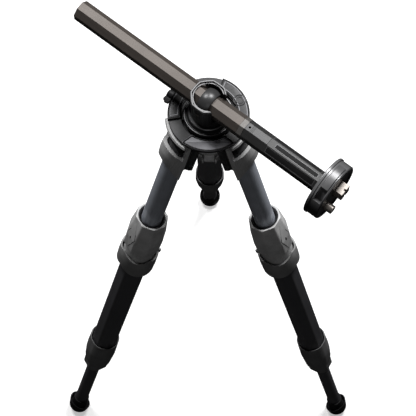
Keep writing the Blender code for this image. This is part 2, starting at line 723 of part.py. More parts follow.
def centre_column(frame):
    """The column tube, its band and stop screw, and the slotted head end."""
    outer = octagon_section(COLUMN_FLAT)
    inner = octagon_section(COLUMN_FLAT - COLUMN_WALL)
    rings = [
        at(outer, COLUMN_LEFT),
        at(outer, BAND_START - GAP),
        at(inner, BAND_START - GAP),
        at(inner, COLUMN_LEFT),
    ]
    tube = solid("column_tube", along_x(rings), "column", frame, wrap=True)
    notch = box(COLUMN_LEFT - 5, COLUMN_LEFT + 4, -4, 4, -30, -COLUMN_FLAT + COLUMN_WALL + 1)
    shape_with(tube, tool("tube_notch", notch, frame))
    screw_at = (COLUMN_LEFT + 9, 0, -COLUMN_FLAT)
    hole = rod(2.0 + GAP, -6, 6, count=12)
    shape_with(tube, tool("stop_screw_hole", hole, frame, position=screw_at))
    profile = ((2.0, COLUMN_WALL - 0.2), (2.0, -GAP), (5.0, -GAP), (5.0, -5.0), (3.4, -6.5))
    solid("stop_screw", turned(profile, 12), "black", frame, position=screw_at)

    band_outer = octagon_section(COLUMN_FLAT + 0.35)
    band_inner = octagon_section(COLUMN_FLAT - COLUMN_WALL)
    end = BAND_START + BAND_LENGTH
    rings = [at(band_outer, BAND_START), at(band_outer, end), at(band_inner, end), at(band_inner, BAND_START)]
    ring = solid("column_band", along_x(rings), "band", frame, wrap=True)
    tongue = box(
        end - 2, end + 36, -5.2, 5.2, COLUMN_FLAT - COLUMN_WALL + 0.2, COLUMN_FLAT + 0.35
    )
    shape_with(ring, tool("band_tongue", tongue, frame), "UNION")
    spot = rod(1.6, -9, 9, count=12)
    shape_with(ring, tool("band_hole", spot, frame, position=(end + 5, 0, COLUMN_FLAT)))

    last = FLANGE_START - GAP
    rings = [at(outer, HEAD_START), at(outer, last), at(inner, last), at(inner, HEAD_START)]
    head_end = solid("column_head_end", along_x(rings), "black", frame, wrap=True)
    seat = box(HEAD_START - 3, end + 36 + GAP, -5.2 - GAP, 5.2 + GAP, COLUMN_FLAT - COLUMN_WALL - 0.1, 30)
    shape_with(head_end, tool("tongue_seat", seat, frame))
    for degrees in (0, 90, 180, 270):
        turn = Matrix.Rotation(math.radians(degrees), 3, "X")
        slot = box(end + 46, last - 8, -2.6, 2.6, COLUMN_FLAT - 1.5, 30)
        shape_with(head_end, tool(f"flat_slot_{degrees}", slot, frame, turn=turn))
    for degrees in (45, 135, 225, 315):
        turn = Matrix.Rotation(math.radians(degrees), 3, "X")
        slot = box(end + 38, last - 8, -3.6, 3.6, COLUMN_FLAT - 1.5, 30)
        shape_with(head_end, tool(f"corner_slot_{degrees}", slot, frame, turn=turn))


def head_plate(frame):
    """The flange, the clamping disc, its lever, the camera stud and a locating post."""
    count = 32
    start = FLANGE_START
    disc = start + FLANGE_THICKNESS + GAP
    face = disc + PLATE_DISC_THICKNESS
    profile = (
        (FLANGE_RADIUS - 0.8, start),
        (FLANGE_RADIUS, start + 0.8),
        (FLANGE_RADIUS, start + FLANGE_THICKNESS),
    )
    flange = solid("head_flange", along_x(turned(profile, count)), "black", frame)
    radius = PLATE_DISC_RADIUS
    profile = (
        (radius, disc),
        (radius, face - 1.4),
        (radius - 1.4, face),
        (radius - 7, face),
        (radius - 8, face - 1.2),
    )
    plate = solid("head_disc", along_x(turned(profile, count)), "black", frame)
    stud_at = (0, STUD_OFFSET, 0)
    bore = tool("stud_bore", rod(5.3, start - 9, face + 9, "x", 16), frame, position=stud_at)
    shape_with(flange, bore)
    shape_with(plate, bore)
    seat = tool("stud_seat", rod(STUD_SIZE * 0.75, face - 5, face + 9, "x"), frame, position=stud_at)
    shape_with(plate, seat)

    inner = radius - 7
    low, high = disc + 2.6, face - 2.4
    middle = 90 + LEVER_MIDDLE
    seat_half = LEVER_HALF + LEVER_TRAVEL / 2 + 1
    seat_rings = sector(middle - LEVER_TRAVEL / 2, inner, radius + 9, seat_half, low, high)
    shape_with(plate, tool("lever_seat", along_x(seat_rings), frame))
    lever_rings = sector(
        middle, inner + GAP + 0.4, radius + 1.6, LEVER_HALF, low + GAP, high - GAP
    )
    solid("head_lever", along_x(lever_rings), "collar", frame)

    size = STUD_SIZE / 2
    body = [(-size, -size), (size, -size), (size, size), (-size, size)]
    rings = [at(body, face - 5 + GAP), at(body, face + STUD_RISE)]
    frame = empty("stud_axis", frame, stud_at)
    stud = solid("camera_stud", along_x(rings), "steel", frame)
    screw = rod(4.7, start + 0.4, face - 4, "x", 16)
    shape_with(stud, tool("stud_screw", screw, frame), "UNION")
    slot = box(face + STUD_RISE - 2.6, face + STUD_RISE + 5, -0.9, 0.9, -size - 5, size + 5)
    shape_with(stud, tool("stud_slot", slot, frame))

    frame = frame.parent
    spot = (0, -radius * 0.38, -radius * 0.36)
    hole = rod(POST_RADIUS + GAP, disc + 4, face + 9, "x", 16)
    shape_with(plate, tool("post_hole", hole, frame, position=spot))
    rings = rod(POST_RADIUS, disc + 4 + GAP, face + STUD_RISE - 1, "x", 16)
    solid("locating_post", rings, "steel", frame, position=spot)


def main():
    for thing in list(bpy.data.objects):
        bpy.data.objects.remove(thing, do_unlink=True)
    root = empty("tripod", None, (0, CENTRE_SHIFT, 0))
    for side in LEG_AZIMUTH:
        leg = leg_frame(side, root)
        hinge_parts(side, leg)
        leg_tubes(side, leg)
        upper_collar(side, leg)
        yoke_lever(side, leg)
        foot_parts(side, leg)
    head = empty("head", root, (0, 0, HINGE_HEIGHT))
    spider(head)
    head_covers(head)
    wing_knob(head)
    frame = column_cradle(head)
    centre_column(frame)
    head_plate(frame)


main()
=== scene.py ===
"""A camera tripod with its centre column set level: surfaces, finishes and studio.

Lengths inside the builders are millimetres in a piece's own frame. A leg frame has its
origin on the hinge, +X away from the head, +Y along the hinge and -Z down the leg. The
column frame has +X along the column to its head plate and +Z up.
"""

import json
import math
from types import SimpleNamespace

import bmesh
import bpy
import numpy as np
from bpy.props import FloatProperty, FloatVectorProperty, PointerProperty
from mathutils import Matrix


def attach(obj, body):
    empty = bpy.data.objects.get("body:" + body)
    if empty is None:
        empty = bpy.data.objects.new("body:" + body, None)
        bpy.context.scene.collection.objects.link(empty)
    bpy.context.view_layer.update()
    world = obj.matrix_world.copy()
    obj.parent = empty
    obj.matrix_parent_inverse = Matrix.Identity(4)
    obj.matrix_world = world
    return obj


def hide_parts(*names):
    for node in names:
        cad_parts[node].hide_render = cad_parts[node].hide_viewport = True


bl_info = {
    "name": "Camera Tripod",
    "version": (1, 0, 0),
    "blender": (4, 5, 0),
    "location": "View3D > Sidebar > Tripod",
    "description": "Builds the visible surfaces and finishes of a camera tripod",
    "category": "Add Mesh",
}

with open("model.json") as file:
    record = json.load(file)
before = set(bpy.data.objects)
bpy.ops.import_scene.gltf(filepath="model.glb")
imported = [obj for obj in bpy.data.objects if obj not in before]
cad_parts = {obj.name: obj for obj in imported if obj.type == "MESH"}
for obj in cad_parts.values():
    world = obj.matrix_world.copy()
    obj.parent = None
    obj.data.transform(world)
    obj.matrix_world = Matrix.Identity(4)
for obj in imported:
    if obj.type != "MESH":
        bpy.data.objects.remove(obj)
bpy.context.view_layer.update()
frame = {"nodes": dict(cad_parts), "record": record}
JOINTS = {joint["name"]: joint for joint in frame["record"]["behaviour"]["joints"]}
SIDES = ("left", "right", "rear")
ROUND = 96  # points round a section
FINE = 128  # points round a long tube or a collar
DISC = 144  # points round the plate and the turntable
MERGE = 1e-6  # metres within which vertices are one
SHARP = math.radians(32)  # edges past this angle stay sharp
BEVELLED = math.radians(28)  # edges past this angle are rounded

GAP = 0.3  # clearance round the middle and lower tubes
NECK_WALL = 2.2  # wall of the upper collar's neck
YOKE_GAP = 2.8  # clearance between the neck and the quick lever
SLEEVE_TOP = 984  # depth of the top of the foot's sleeve
LOBES = (30, 150)  # azimuths of the plate's raised lobes, in degrees
HEAD_SLOTS = ((0, 107.5, 3.2), (180, 107.5, 3.2), (45, 99.5, 4.3), (-45, 99.5, 4.3))
HEAD_SLOT_END = 173.7  # where every slot of the column's head end stops

LAMPS = (  # name, place, size, share of the key light's power, target
    ("over_left", (-0.85, 1.2, 3.3), 0.8, 0.95, (0, 0, 0.4)),
    ("over_right", (0.85, 1.2, 3.3), 0.8, 1.35, (0, 0, 0.4)),
    ("front", (-0.2, -2.4, 2.9), 1.2, 0.06, (0, 0, 0.8)),
)
FLOOR_GLOW = 0.45
SKY_ON_OBJECT, SKY_IN_VIEW = 0.02, 1.0  # strength of the white world
LENS_SHIFT = (-0.0014, 0.0048)


# ---- frames ----
class Frame:
    """A piece's own frame: three unit axes and an origin in metres."""

    def __init__(self, origin, x, y, z):
        self.axes = np.column_stack([x, y, z]).astype(float)
        self.origin = np.array(origin, float)

    def out(self, points):
        """Local millimetres to metres in the object's frame."""
        return points @ self.axes.T / 1000 + self.origin

    def back(self, points):
        """Metres in the object's frame to local millimetres."""
        return (points - self.origin) @ self.axes * 1000

    def at(self, x, y, z):
        """The same axes from another origin."""
        return Frame(self.out(np.array([x, y, z], float)), *self.axes.T)

    def about(self, axis, degrees):
        """The frame turned about one of its own axes, 0, 1 or 2."""
        c, s = math.cos(math.radians(degrees)), math.sin(math.radians(degrees))
        turn = np.eye(3)
        a, b = (axis + 1) % 3, (axis + 2) % 3
        turn[a, a] = turn[b, b] = c
        turn[a, b], turn[b, a] = -s, s
        return Frame(self.origin, *(self.axes @ turn).T)


def leg_frame(side):
    """The frame of a leg, from its hinge and the way that its tubes slide."""
    hinge = JOINTS[f"{side}_leg_spread"]
    up = np.array(JOINTS[f"{side}_middle_slide"]["axis"])
    along = -np.array(hinge["axis"])
    return Frame(hinge["pos_m"], np.cross(along, up), along, up)


def column_frame():
    """The frame of the column, from its tilt pins and the way that it slides."""
    along = np.array(JOINTS["column_slide"]["axis"])
    up = np.array((0.0, 0.0, 1.0))
    return Frame(JOINTS["column_tilt"]["pos_m"], along, np.cross(up, along), up)


def head_frame():
    """The frame of the head: its axis, at the height of the leg hinges."""
    centre = JOINTS["column_pan"]["pos_m"]
    height = JOINTS["left_leg_spread"]["pos_m"][2]
    return Frame((centre[0], centre[1], height), (1, 0, 0), (0, 1, 0), (0, 0, 1))


# ---- surfaces ----
def soften(points, radius, closed=True, steps=5):
    """Each corner becomes a quadratic curve between two points a radius away from it.

    The curve is (1-t)^2 a + 2t(1-t) corner + t^2 b, where a and b lie towards the
    neighbours, never further than nine twentieths of the way.
    """
    p = np.asarray(points, float)

    def towards(neighbour):
        step = neighbour - p
        distance = np.maximum(np.linalg.norm(step, axis=1, keepdims=True), 1e-9)
        return p + step * np.minimum(radius / distance, 0.45)

    a, b = towards(np.roll(p, 1, 0)), towards(np.roll(p, -1, 0))
    t = np.linspace(0, 1, steps)[:, None, None]
    curve = ((1 - t) ** 2 * a + 2 * t * (1 - t) * p + t**2 * b).transpose(1, 0, 2)
    if closed:
        return curve.reshape(-1, p.shape[1])
    return np.concatenate([p[:1], curve[1:-1].reshape(-1, p.shape[1]), p[-1:]])


def lathe(rows, count=ROUND):
    """Loops round +Z. A row is (flat, limit, height, slant).

    The reach at an angle is the octagon flat / cos(offset from the nearest facet), held
    under the limit, and the height rises by slant times x. Equal flat and limit give a
    circle.
    """
    rows = np.asarray(rows, float)
    angle = (np.arange(count) + 0.5) * math.tau / count
    offset = (angle + math.pi / 8) % (math.pi / 4) - math.pi / 8
    reach = np.minimum(rows[:, :1] / np.cos(offset), rows[:, 1:2])
    x, y = reach * np.cos(angle), reach * np.sin(angle)
    return np.stack([x, y, rows[:, 2:3] + rows[:, 3:4] * x], -1)


def rounds(profile, radius, closed=True):
    """Rows of a circular lathe from (radius, height) corners, softened."""
    p = soften(profile, radius, closed)
    return np.stack([p[:, 0], p[:, 0], p[:, 1], np.zeros(len(p))], -1)


def arc_wall(degrees, inner, outer, low, high, bulge, radius):
    """Loops of a wall that bends round +Z; each argument may vary with the angle.

    A loop is the rectangle inner..outer by low..high, with its outer side pushed out by
    the bulge at mid height, corners softened, stood up at its angle.
    """
    a = np.radians(np.asarray(degrees, float))
    inner, outer, low, high, bulge = (
        np.broadcast_to(np.asarray(v, float), a.shape) for v in (inner, outer, low, high, bulge)
    )
    middle = (low + high) / 2
    reach = np.stack([inner, outer, outer + bulge, outer, inner], -1)
    height = np.stack([low, low, middle, high, high], -1)
    loops = np.array([soften(np.stack([r, h], -1), radius, steps=4) for r, h in zip(reach, height)])
    r, h = loops[..., 0], loops[..., 1]
    return np.stack([r * np.cos(a)[:, None], r * np.sin(a)[:, None], h], -1)


def normals(outline):
    """Unit vectors in the plane, a quarter turn to the left of a closed outline's way."""
    along = np.roll(outline, -1, 0) - np.roll(outline, 1, 0)
    along /= np.maximum(np.linalg.norm(along, axis=1, keepdims=True), 1e-9)
    return np.stack([-along[:, 1], along[:, 0]], -1)


def slab(outline, low, high, edge):
    """Loops of a flat plate over a closed outline (x, y) with rounded rims.

    The rim is a quarter circle: inset edge (1 - sin t), height edge (1 - cos t), where
    the inset follows the outline's inward normal.
    """
    p = np.asarray(outline, float)
    area = np.sum(p[:, 0] * np.roll(p[:, 1], -1) - p[:, 1] * np.roll(p[:, 0], -1))
    inward = normals(p) * math.copysign(1, area)
    t = np.linspace(0, math.pi / 2, 4)
    inset = edge * (1 - np.sin(t))
    rise = edge * (1 - np.cos(t))
    insets = np.concatenate([inset, inset[::-1]])
    heights = np.concatenate([low + rise, high - rise[::-1]])
    xy = p[None] + inward[None] * insets[:, None, None]
    z = np.broadcast_to(heights[:, None, None], (len(heights), len(p), 1))
    return np.concatenate([xy, z], -1)


def bead(outline, width, low, high):
    """Loops of a square bead along a closed flat outline.

    Its sides lie half the width either way along the outline's normals.
    """
    p = np.asarray(outline, float)
    side = normals(p) * width / 2
    near, far = p - side, p + side
    x = np.stack([near[:, 0], far[:, 0], far[:, 0], near[:, 0]], -1)
    y = np.stack([near[:, 1], far[:, 1], far[:, 1], near[:, 1]], -1)
    return np.stack([x, y, np.broadcast_to([low, low, high, high], x.shape)], -1)


def sector(azimuth, inner, outer, half_inner, half_outer):
    """The outline of a ring sector whose ends may be skewed, as (x, y)."""

    def arc(radius, half, sign):
        a = np.radians(azimuth + sign * np.linspace(-half, half, 24))
        return np.stack([radius * np.cos(a), radius * np.sin(a)], -1)

    return np.concatenate([arc(outer, half_outer, 1), arc(inner, half_inner, -1)])


def along_x(points):
    """Points drawn round Z, laid round X: (x, y, z) becomes (z, -x, y)."""
    return np.stack([points[..., 2], -points[..., 0], points[..., 1]], -1)


def skin(loops, closed=False):
    """Quads between neighbouring loops. An open stack is capped by its end loops."""
    n, m = loops.shape[:2]
    index = np.arange(n * m).reshape(n, m)
    low, high = (index, np.roll(index, -1, 0)) if closed else (index[:-1], index[1:])
    quads = np.stack([low, np.roll(low, -1, 1), np.roll(high, -1, 1), high], -1)
    faces = quads.reshape(-1, 4).tolist()
    if not closed:
        faces += [index[0, ::-1].tolist(), index[-1].tolist()]
    return loops.reshape(-1, 3), faces


def grid_piece(name, shells, place, finish, body, nodes=()):
    """One piece from skins in a frame, with its local millimetres kept as an attribute."""
    points, faces, start = [], [], 0
    for shell_points, shell_faces in shells:
        points.append(shell_points)
        faces += [[start + i for i in face] for face in shell_faces]
        start += len(shell_points)
    local = np.concatenate(points)
    mesh = bpy.data.meshes.new(name)
    mesh.from_pydata(place.out(local).tolist(), [], faces)
    return finished(name, mesh, place, finish, body, nodes)


def finished(name, mesh, place, finish, body, nodes):
    """Links a mesh as a piece: outward normals, smooth faces, finish, body and nodes."""
    work = bmesh.new()
    work.from_mesh(mesh)
    bmesh.ops.remove_doubles(work, verts=work.verts, dist=MERGE)
    bmesh.ops.recalc_face_normals(work, faces=work.faces)
    work.to_mesh(mesh)
    work.free()
    mesh.shade_smooth()
    mesh.set_sharp_from_angle(angle=SHARP)
    count = len(mesh.vertices)
    spots = np.empty(count * 3)
    mesh.vertices.foreach_get("co", spots)
    local = place.back(spots.reshape(-1, 3))
    own = mesh.attributes.new("local", "FLOAT_VECTOR", "POINT")
    own.data.foreach_set("vector", local.astype(np.float32).ravel())
    mesh.materials.append(material(finish))
    made = bpy.data.objects.new(name, mesh)
    bpy.context.scene.collection.objects.link(made)
    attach(made, body)
    if nodes:
        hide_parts(*nodes)
    return made


def rounded_copy(node, place, finish, body, width):
    """A merged copy of a node with rounded edges, which stands for that node."""
    mesh = frame["nodes"][node].data.copy()
    mesh.materials.clear()
    work = bmesh.new()
    work.from_mesh(mesh)
    bmesh.ops.remove_doubles(work, verts=work.verts, dist=MERGE)
    bmesh.ops.dissolve_limit(
        work, angle_limit=math.radians(0.5), verts=work.verts, edges=work.edges
    )
    work.to_mesh(mesh)
    work.free()
    made = finished(f"{node}_shell", mesh, place, finish, body, (node,))
    edge = made.modifiers.new("edges", "BEVEL")
    edge.width = width / 1000
    edge.segments = 3
    edge.limit_method = "ANGLE"
    edge.angle_limit = BEVELLED
    edge.harden_normals = True
    return made


# ---- shader maths ----
class Wire:
    """A socket whose arithmetic adds Math nodes to its material."""

    def __init__(self, shader, socket):
        self.shader = shader
        self.socket = socket

    def math(self, operation, *others):
        values = dict(enumerate((self, *others)))
        return self.shader.add("ShaderNodeMath", values, operation=operation)

    def __add__(self, other):
        return self.math("ADD", other)

    def __sub__(self, other):
        return self.math("SUBTRACT", other)

    def __mul__(self, other):
        return self.math("MULTIPLY", other)

    def ramp(self, start, end, low=0.0, high=1.0):
        """A smooth step from low to high as the value goes from start to end."""
        values = {"Value": self, "From Min": start, "From Max": end, "To Min": low, "To Max": high}
        return self.shader.add("ShaderNodeMapRange", values, interpolation_type="SMOOTHSTEP")


class Shader:
    """A material's nodes, with plain settings put straight on the Principled sockets."""

    def __init__(self, name, **settings):
        self.made = bpy.data.materials.new(name)
        self.made.use_nodes = True
        self.tree = self.made.node_tree
        self.surface = self.tree.nodes["Principled BSDF"]
        self.surface.inputs["Specular IOR Level"].default_value = 0.3
        for key, value in settings.items():
            self.surface.inputs[key.replace("_", " ").title()].default_value = value

    def add(self, kind, values=None, out=0, **settings):
        """Adds a node: its settings first, then the values or links of its sockets."""
        node = self.tree.nodes.new(kind)
        for key, value in settings.items():
            setattr(node, key, value)
        for key, value in (values or {}).items():
            if isinstance(value, Wire):
                self.tree.links.new(value.socket, node.inputs[key])
            else:
                node.inputs[key].default_value = value
        return Wire(self, node.outputs[out])

    def local(self, stretch=(1, 1, 1)):
        """The piece's own millimetres, each axis scaled."""
        spot = self.add("ShaderNodeAttribute", attribute_name="local", out="Vector")
        return self.add("ShaderNodeVectorMath", {0: spot, 1: stretch}, operation="MULTIPLY")

    def world(self, stretch=(1, 1, 1)):
        """Object coordinates in millimetres, each axis scaled."""
        spot = self.add("ShaderNodeTexCoord", out="Object")
        scale = tuple(1000 * s for s in stretch)
        return self.add("ShaderNodeVectorMath", {0: spot, 1: scale}, operation="MULTIPLY")

    def noise(self, spot, scale, detail):
        """Noise about one half, with cells of 1 / scale."""
        values = {"Vector": spot, "Scale": scale, "Detail": detail}
        return self.add("ShaderNodeTexNoise", values)

    def mix(self, factor, first, second):
        """A colour between two."""
        first, second = (c if isinstance(c, Wire) else (*c, 1.0) for c in (first, second))
        values = {0: factor, 6: first, 7: second}
        return self.add("ShaderNodeMix", values, out=2, data_type="RGBA")

    def feed(self, key, wire):
        """Links a value to a socket of the surface."""
        self.tree.links.new(wire.socket, self.surface.inputs[key])

    def bump(self, height, distance):
        """Relief, its height in millimetres when the distance is one."""
        values = {"Height": height, "Distance": distance / 1000}
        self.feed("Normal", self.add("ShaderNodeBump", values))


def shade(colour, factor):
    """A colour made lighter or darker."""
    return tuple(min(1.0, c * factor) for c in colour)


def cast_finish(name, colour, roughness, metallic=0.0, grain=1.6, depth=0.035, space="local"):
    """Satin coating: two scales of tone, fine pitted grain and uneven gloss."""
    s = Shader(name, metallic=metallic)
    spot = getattr(s, space)()
    cloud = s.noise(spot, 0.045, 4.0)
    pits = s.noise(spot, grain, 2.0)
    tone = cloud.ramp(0.3, 0.7, 0.0, 0.75) + pits.ramp(0.35, 0.65, 0.0, 0.25)
    s.feed("Base Color", s.mix(tone, shade(colour, 0.84), shade(colour, 1.14)))
    s.feed("Roughness", cloud.ramp(0.3, 0.7, roughness - 0.05, roughness + 0.06))
    s.bump(pits, depth)
    return s.made


def drawn_finish(name, colour, roughness, stretch, metallic):
    """Anodised drawn metal: long fine lines along one axis over a soft cloud."""
    s = Shader(name, metallic=metallic)
    lines = s.noise(s.local(stretch), 2.6, 2.0)
    cloud = s.noise(s.local(), 0.03, 3.0)
    tone = lines.ramp(0.3, 0.7, 0.0, 0.6) + cloud.ramp(0.3, 0.7, 0.0, 0.4)
    s.feed("Base Color", s.mix(tone, shade(colour, 0.82), shade(colour, 1.16)))
    s.feed("Roughness", lines.ramp(0.3, 0.7, roughness - 0.06, roughness + 0.06))
    s.bump(lines, 0.012)
    return s.made


def cover_finish(name, colour):
    """Moulded grey: streaks down the piece, a lighter strip along both upright ends."""
    s = Shader(name)
    spot = s.add("ShaderNodeSeparateXYZ", {0: s.local()})
    x, y = spot, Wire(s, spot.socket.node.outputs[1])
    angle = y.math("ARCTAN2", x).math("ABSOLUTE")
    streak = s.noise(s.local((1.0, 1.0, 0.04)), 1.5, 3.0)
    strip = angle.ramp(1.15, 1.3)
    tone = streak.ramp(0.3, 0.7, 0.0, 0.6) + strip * 0.4
    s.feed("Base Color", s.mix(tone, shade(colour, 0.86), shade(colour, 1.3)))
    s.feed("Roughness", streak.ramp(0.3, 0.7, 0.42, 0.56))
    s.bump(streak, 0.05)
    return s.made


def graded_finish(name, first, second, axis, start, end, roughness, lines=()):
    """Satin metal that changes colour along one local axis, with fine dark lines across."""
    s = Shader(name, metallic=0.3)
    split = s.add("ShaderNodeSeparateXYZ", {0: s.local()})
    place = Wire(s, split.socket.node.outputs[axis])
    grain = s.noise(s.local(), 2.5, 2.0)
    colour = s.mix(place.ramp(start, end), first, second)
    tone = grain.ramp(0.3, 0.7, 0.0, 0.12)
    for line in lines:
        tone = tone + (place - line).math("ABSOLUTE").ramp(0.25, 0.5, 0.8, 0.0)
    s.feed("Base Color", s.mix(tone, colour, (0.01, 0.01, 0.01)))
    s.feed("Roughness", grain.ramp(0.3, 0.7, roughness - 0.04, roughness + 0.05))
    s.bump(grain, 0.02)
    return s.made


def rubber_finish(name, colour):
    """Moulded rubber: dull, lightly dusted in random patches, with a soft pebble."""
    s = Shader(name)
    pebble = s.noise(s.local(), 1.1, 2.0)
    dust = s.noise(s.local(), 0.12, 4.0)
    s.feed("Base Color", s.mix(dust.ramp(0.45, 0.75), colour, shade(colour, 2.2)))
    s.feed("Roughness", dust.ramp(0.3, 0.7, 0.62, 0.82))
    s.bump(pebble, 0.06)
    return s.made


def steel_finish(name, colour, space="local"):
    """Turned metal, half bright: fine scratches round it and duller patches."""
    s = Shader(name, metallic=0.6)
    spot = getattr(s, space)
    lines = s.noise(spot((0.3, 3.0, 0.3)), 2.2, 3.0)
    patch = s.noise(spot(), 0.2, 3.0)
    s.feed("Base Color", s.mix(patch.ramp(0.3, 0.7), shade(colour, 0.84), shade(colour, 1.1)))
    s.feed("Roughness", lines.ramp(0.3, 0.7, 0.38, 0.5) + patch.ramp(0.4, 0.8, 0.0, 0.08))
    s.bump(lines, 0.01)
    return s.made


def material(name):
    """The finish of that name, made the first time it is asked for."""
    found = bpy.data.materials.get(name)
    if found:
        return found
    c = bpy.context.scene.tripod_finishes
    down, lengthwise = (1, 1, 0.01), (0.01, 1, 1)  # the way of the drawn lines
    makers = {
        "satin_casting": lambda: cast_finish(name, c.casting, 0.42, 0.2),
        "inner_casting": lambda: cast_finish(name, c.inner, 0.5),
        "grey_cover": lambda: cover_finish(name, c.cover),
        "blue_tube": lambda: drawn_finish(name, c.tube, 0.34, down, 0.15),
        "black_tube": lambda: drawn_finish(name, c.black_tube, 0.4, down, 0.3),
        "grey_plastic": lambda: cast_finish(name, c.collar, 0.5, 0.0, 2.2, 0.05),
        "lever_plastic": lambda: cast_finish(name, shade(c.collar, 0.42), 0.5, 0.0, 2.2, 0.05),
        "dark_plastic": lambda: cast_finish(name, c.lower_collar, 0.52, 0.0, 2.2, 0.05),
        "column_metal": lambda: drawn_finish(name, c.column, 0.42, lengthwise, 0.35),
        "head_metal": lambda: drawn_finish(name, c.head_end, 0.38, lengthwise, 0.3),
        "band_metal": lambda: graded_finish(
            name, c.band, c.panel, 0, 61.2, 61.7, 0.36, (62.6, 70.0, 71.6, 73.2)
        ),
        # The rim colour at the top, darkening below it to the cup colour: painted shade on the cradle's
        # outer wall.
        "cup_metal_painted_shade": lambda: graded_finish(name, c.cup, c.rim, 2, 13.5, 16.5, 0.36),
        # The dark hinge-casting colour below the liner's rim: painted shade inside the cradle.
        "cup_inside_painted_shade": lambda: graded_finish(name, c.inner, c.rim, 2, 13.8, 14.6, 0.36),
        # Gloss black below, turning to the plate-segment grey towards the top: a painted highlight on
        # the head plate and flange.
        "gloss_black_painted_highlight": lambda: graded_finish(name, c.gloss, c.disc_grey, 2, 4.0, 34.0, 0.3),
        # The casting colour made nine times lighter: painted light on the front panel, which lies in
        # the column's shadow, and on the lobes' ridges.
        "casting_painted_light": lambda: cast_finish(name, shade(c.casting, 9.0), 0.42, 0.2),
        "slot_black": lambda: cast_finish(name, shade(c.gloss, 0.3), 0.8),
        "disc_grey": lambda: cast_finish(name, shade(c.disc_grey, 0.7), 0.3, 0.3, 1.5, 0.02),
        "rim_metal": lambda: cast_finish(name, c.rim, 0.36, 0.6, 2.5, 0.02),
        "ball_metal": lambda: cast_finish(name, c.ball, 0.34, 0.4, 2.5, 0.02),
        "foot_rubber": lambda: rubber_finish(name, c.rubber),
        "warm_steel": lambda: steel_finish(name, c.steel),
        "hidden_steel": lambda: steel_finish(name, c.steel, "world"),
        "hidden_black": lambda: cast_finish(name, c.inner, 0.5, space="world"),
        "studio_floor": lambda: floor_finish(name),
    }
    return makers[name]()


def floor_finish(name):
    """A pale matt floor, very slightly uneven, with a glow of its own."""
    s = Shader(name)
    cloud = s.noise(s.world(), 0.004, 2.0)
    s.feed("Base Color", s.mix(cloud, (0.80, 0.80, 0.80), (0.83, 0.83, 0.83)))
    s.feed("Roughness", cloud.ramp(0.3, 0.7, 0.85, 0.95))
    s.surface.inputs["Emission Color"].default_value = (1, 1, 1, 1)
    s.surface.inputs["Emission Strength"].default_value = FLOOR_GLOW
    return s.made


# ---- what a user may change ----
def length(name, description, default):
    """A length in metres that a user may change."""
    return FloatProperty(name=name, description=description, default=default, unit="LENGTH")


def colour(name, description, default):
    """A colour that a user may change."""
    return FloatVectorProperty(
        name=name, description=description, default=default, subtype="COLOR", size=3, min=0, max=1
    )


def millimetres(group):
    """A group's lengths as plain numbers in millimetres."""
    return SimpleNamespace(**{k: getattr(group, k) * 1000 for k in group.__annotations__})


class LegSizes(bpy.types.PropertyGroup):
    cover_inner: length("Cover inside", "Inside radius of the hinge cover", 0.0185)
    cover_wall: length("Cover wall", "Thickness of the hinge cover", 0.0054)
    tube: length("Upper tube", "Radius of the upper tube", 0.015)
    tube_top: length("Tube top", "Depth of the upper tube's top below the hinge", 0.036)
    tube_end: length("Tube end", "Depth of the upper tube's open end", 0.480)
    middle_flat: length("Middle flat", "Middle tube, centre to flat", 0.0202)
    middle_corner: length("Middle corner", "Middle tube, centre to rounded corner", 0.0215)
    middle_top: length("Middle top", "Depth of the middle tube's top", 0.343)
    middle_end: length("Middle end", "Depth of the middle tube's end", 0.800)
    lower: length("Lower tube", "Radius of the lower tube", 0.0114)
    lower_top: length("Lower top", "Depth of the lower tube's top", 0.690)
    lower_end: length("Lower end", "Depth of the lower tube's end", 1.018)
    collar: length("Collar", "Largest radius of the upper collar", 0.0282)
    collar_top: length("Collar top", "Depth of the upper collar's mouth", 0.243)
    neck_top: length("Neck top", "Depth of the neck's top", 0.326)
    neck_end: length("Neck end", "Depth of the neck's end", 0.382)
    foot_collar: length("Foot collar", "Largest radius of the lower collar", 0.026)
    foot_collar_top: length("Foot collar top", "Depth of the lower collar's mouth", 0.696)
    foot_collar_end: length("Foot collar end", "Depth of the lower collar's end", 0.821)
    pin: length("Lever pin", "Reach of the lever's pin inwards of the leg", 0.0276)
    pin_drop: length("Pin depth", "Depth of the lever's pin", 0.366)
    leg: length("Leg", "Hinge to the middle of the sole", 1.036)


class HeadSizes(bpy.types.PropertyGroup):
    plate: length("Plate", "Radius of the top plate", 0.0532)
    groove: length("Groove", "Radius of the dark ring groove", 0.0362)
    plate_low: length("Plate underside", "Height above the hinges", 0.014)
    plate_top: length("Plate top", "Height above the hinges", 0.019)
    lobe: length("Lobe", "Rise of the raised lobes", 0.0034)
    turntable: length("Turntable", "Radius of the turning ring", 0.0332)
    turntable_top: length("Turntable top", "Height above the hinges", 0.028)
    bore: length("Bore", "Radius of the bore through the head", 0.0173)
    port: length("Port", "Radius of the accessory port's cap", 0.0084)


class ColumnSizes(bpy.types.PropertyGroup):
    flat: length("Flat", "Column, centre to flat", 0.0135)
    ball: length("Ball", "Radius of the tilting ball", 0.0189)
    ball_half: length("Ball half", "Half the ball's width along the column", 0.0084)


